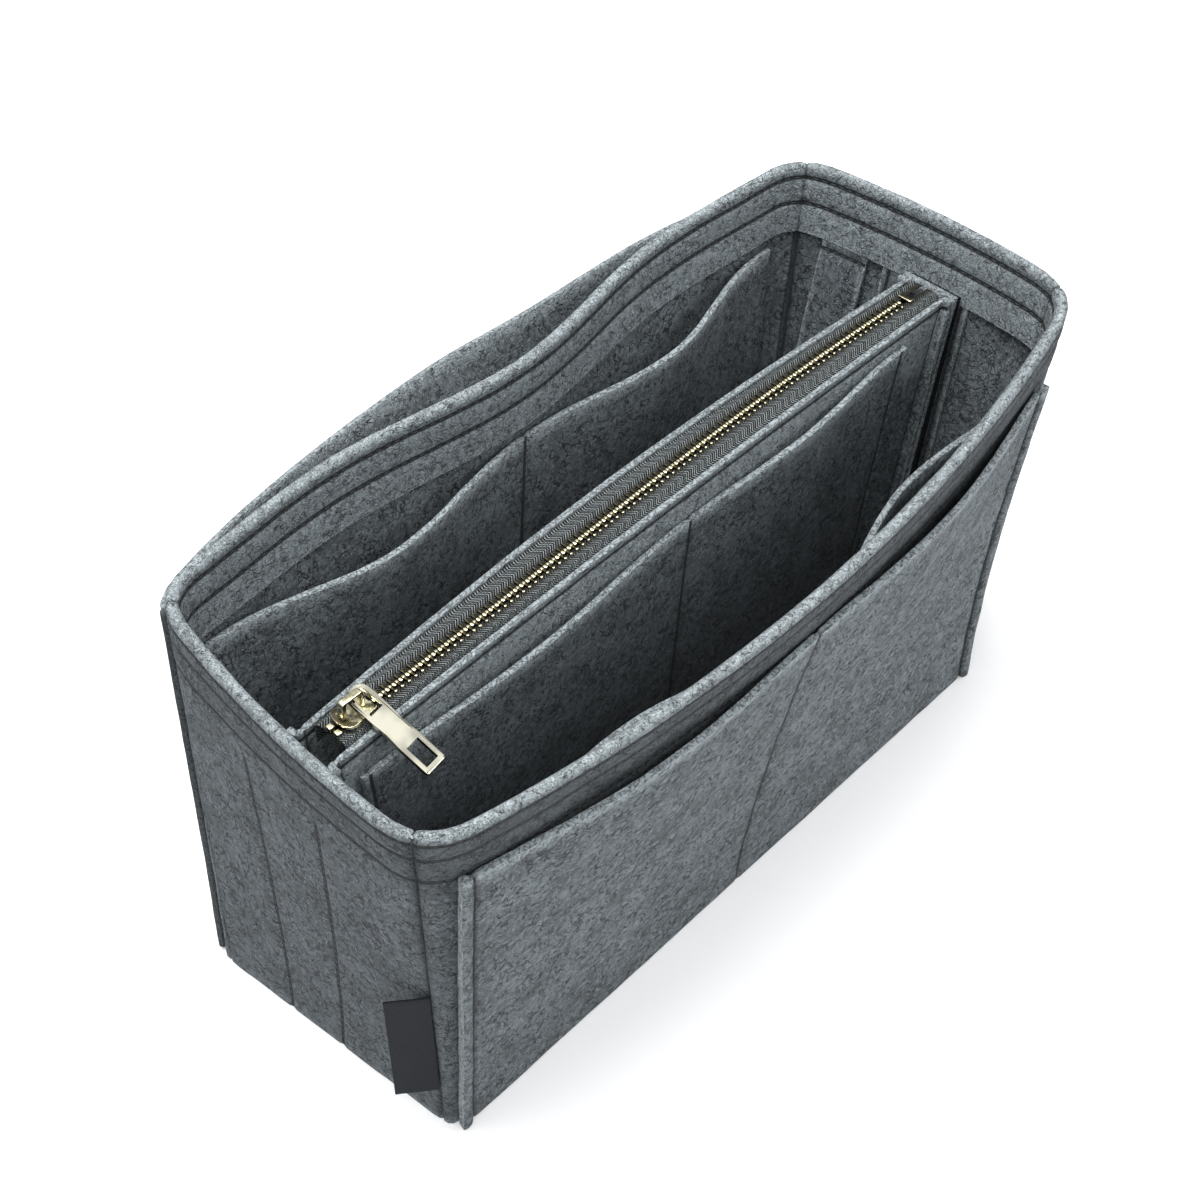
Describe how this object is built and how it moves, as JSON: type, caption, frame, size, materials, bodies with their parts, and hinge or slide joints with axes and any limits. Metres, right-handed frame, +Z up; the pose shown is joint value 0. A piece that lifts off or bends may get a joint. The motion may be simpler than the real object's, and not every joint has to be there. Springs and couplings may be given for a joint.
{
  "type": "bag organizer insert",
  "caption": "Felt organizer insert for a handbag: open tray with inner and outer slip pockets and a lift-out zip pouch in the middle.",
  "frame": {"origin": "middle of the base panel's underside, on the surface the insert stands on", "axes": "+X along the insert towards its right end, +Y towards its back, +Z up"},
  "size_m": [0.3509, 0.1874, 0.18],
  "materials": {
    "felt": "matt needled felt, mixed grey fibres",
    "grip_tape": "hook-and-loop tape, matt black pile",
    "zip_tape": "woven herringbone tape with brass teeth",
    "antique_brass": "antiqued, darkened in the hollows",
    "pale_gold": "polished pale gold plating",
    "label_cloth": "matt black woven ribbon, plain"
  },
  "bodies": {
    "organizer": {"base_panel": "felt", "front_wall": "felt", "right_end_wall": "felt", "back_wall": "felt", "left_end_wall": "felt", "front_outer_pocket": "felt", "back_outer_pocket": "felt", "front_inner_pocket": "felt", "back_inner_pocket": "felt", "left_end_strip": "felt", "right_end_strip": "felt", "right_end_strap": "felt", "left_loop_tape": "grip_tape", "right_loop_tape": "grip_tape", "side_label": "label_cloth"},
    "pouch": {"pouch_front_panel": "felt", "pouch_back_panel": "felt", "pouch_left_gusset": "felt", "pouch_right_gusset": "felt", "pouch_floor": "felt", "pouch_slip_pocket": "felt", "left_hook_tape": "grip_tape", "right_hook_tape": "grip_tape", "zip_tape_front": "zip_tape", "zip_tape_back": "zip_tape", "zip_top_stop_front": "antique_brass", "zip_top_stop_back": "antique_brass", "zip_bottom_stop": "antique_brass"},
    "slider": {"slider_body": "antique_brass", "slider_bridge": "antique_brass"},
    "pull": {"pull_tab": "pale_gold"}
  },
  "joints": [
    {"name": "pouch_lift", "type": "slide", "parent": "organizer", "child": "pouch", "axis": [0, 0, 1], "range_m": [0, 0.19]},
    {"name": "zip_slide", "type": "slide", "parent": "pouch", "child": "slider", "axis": [1, 0, 0], "range_m": [0, 0.277], "deforming": ["zip_tape_front", "zip_tape_back"]},
    {"name": "pull_swing", "type": "hinge", "parent": "slider", "child": "pull", "pos_m": [-0.13429, -0.00688, 0.1656], "axis": [-0.989, -0.1478, 0], "range_deg": [0, 70]}
  ]
}
